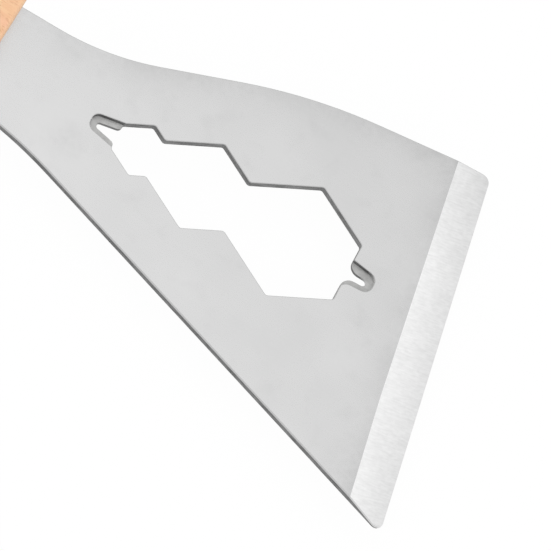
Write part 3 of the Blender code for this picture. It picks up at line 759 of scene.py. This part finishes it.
def set_camera(scene, studio):
    """Set up a camera with a long lens that looks at the aim."""
    camera = bpy.data.objects.new("camera", bpy.data.cameras.new("camera"))
    scene.collection.objects.link(camera)
    turn = (Matrix.Rotation(studio.azimuth, 3, "Z")
            @ Matrix.Rotation(math.pi / 2 - studio.elevation, 3, "X")
            @ Matrix.Rotation(studio.roll, 3, "Z"))
    distance = studio.width * studio.lens / camera.data.sensor_width
    camera.rotation_euler = turn.to_euler()
    camera.location = Vector(studio.aim) + turn @ Vector((0, 0, distance))
    camera.data.lens = studio.lens
    camera.data.clip_start, camera.data.clip_end = (distance * share for share in CAMERA_REACH)
    scene.camera = camera


def white_surroundings(scene, studio):
    """Light the knife from all sides, and show plain white where that is seen directly."""
    world = bpy.data.worlds.new("white surroundings")
    world.use_nodes = True
    tree = world.node_tree
    strength = add_node(tree, "ShaderNodeMapRange", {"Value": seen_directly(tree), "To Min": studio.ambient},
                        "Result")
    background = tree.nodes["Background"]
    tree.links.new(strength, background.inputs["Strength"])
    background.inputs["Color"].default_value = WHITE
    scene.world = world


def white_paper(studio):
    """Matt white paper: nearly plain white where it is seen directly, but for the knife's shadow."""
    paper = bpy.data.materials.new("White paper, matt")
    paper.use_nodes = True
    tree = paper.node_tree
    tree.nodes.clear()
    matt = add_node(tree, "ShaderNodeBsdfDiffuse", {"Color": WHITE}, "BSDF")
    white = add_node(tree, "ShaderNodeEmission", {"Color": WHITE}, "Emission")
    glow = add_node(tree, "ShaderNodeMath", {0: seen_directly(tree), 1: studio.floor_glow}, "Value",
                    operation="MULTIPLY")
    mixed = add_node(tree, "ShaderNodeMixShader", {0: glow, 1: matt, 2: white}, "Shader")
    add_node(tree, "ShaderNodeOutputMaterial", {"Surface": mixed})
    # The glow is there to be seen, and isn't a lamp
    paper.cycles.emission_sampling = "NONE"
    return paper


def lay_floor(scene, studio):
    """Lay a sheet of white paper just under the knife."""
    sheet = bmesh.new()
    bmesh.ops.create_grid(sheet, x_segments=1, y_segments=1, size=FLOOR_REACH)
    bmesh.ops.translate(sheet, verts=sheet.verts, vec=(0, 0, -FLOOR_DROP))
    mesh = bpy.data.meshes.new("floor")
    sheet.to_mesh(mesh)
    sheet.free()
    mesh.materials.append(white_paper(studio))
    floor = bpy.data.objects.new("floor", mesh)
    scene.collection.objects.link(floor)


class PUTTYKNIFE_OT_studio(bpy.types.Operator):
    """Set up the camera, a white floor and surroundings, and soft lamps"""

    bl_idname = "putty_knife.studio"
    bl_label = "Set Up Studio"

    def execute(self, context):
        scene = context.scene
        studio = scene.putty_knife_studio
        scene.view_settings.view_transform = "Standard"
        set_camera(scene, studio)
        white_surroundings(scene, studio)
        lay_floor(scene, studio)
        for lamp in SOFTBOXES:
            softbox(*lamp, studio.aim)
        return {"FINISHED"}


# In the order in which they dress the knife
OPERATORS = (
    PUTTYKNIFE_OT_blade,
    PUTTYKNIFE_OT_scales,
    PUTTYKNIFE_OT_rivets,
    PUTTYKNIFE_OT_eyelet,
    PUTTYKNIFE_OT_studio,
)

SETTINGS = {
    "putty_knife_steel": SteelFinish,
    "putty_knife_wood": WoodFinish,
    "putty_knife_brass": BrassFinish,
    "putty_knife_studio": StudioSetup,
}


class PUTTYKNIFE_PT_finishes(bpy.types.Panel):
    """Buttons that dress the knife, and their sizes and colours"""

    bl_label = "Putty Knife Finishes"
    bl_space_type = "VIEW_3D"
    bl_region_type = "UI"
    bl_category = "Putty Knife"

    def draw(self, context):
        for operator in OPERATORS:
            self.layout.operator(operator.bl_idname)
        for name, group in SETTINGS.items():
            column = self.layout.column(align=True)
            for setting in group.__annotations__:
                column.prop(getattr(context.scene, name), setting)


CLASSES = (*SETTINGS.values(), *OPERATORS, PUTTYKNIFE_PT_finishes)


def register():
    """Add the classes and the settings to Blender."""
    for kind in CLASSES:
        bpy.utils.register_class(kind)
    for name, group in SETTINGS.items():
        setattr(bpy.types.Scene, name, PointerProperty(type=group))


def unregister():
    """Take the settings and the classes out again."""
    for name in SETTINGS:
        delattr(bpy.types.Scene, name)
    for kind in reversed(CLASSES):
        bpy.utils.unregister_class(kind)


def main():
    """Dress the knife and set up the studio."""
    register()
    bpy.ops.putty_knife.blade()
    bpy.ops.putty_knife.scales()
    bpy.ops.putty_knife.rivets()
    bpy.ops.putty_knife.eyelet()
    bpy.ops.putty_knife.studio()


if __name__ == "__main__":
    main()
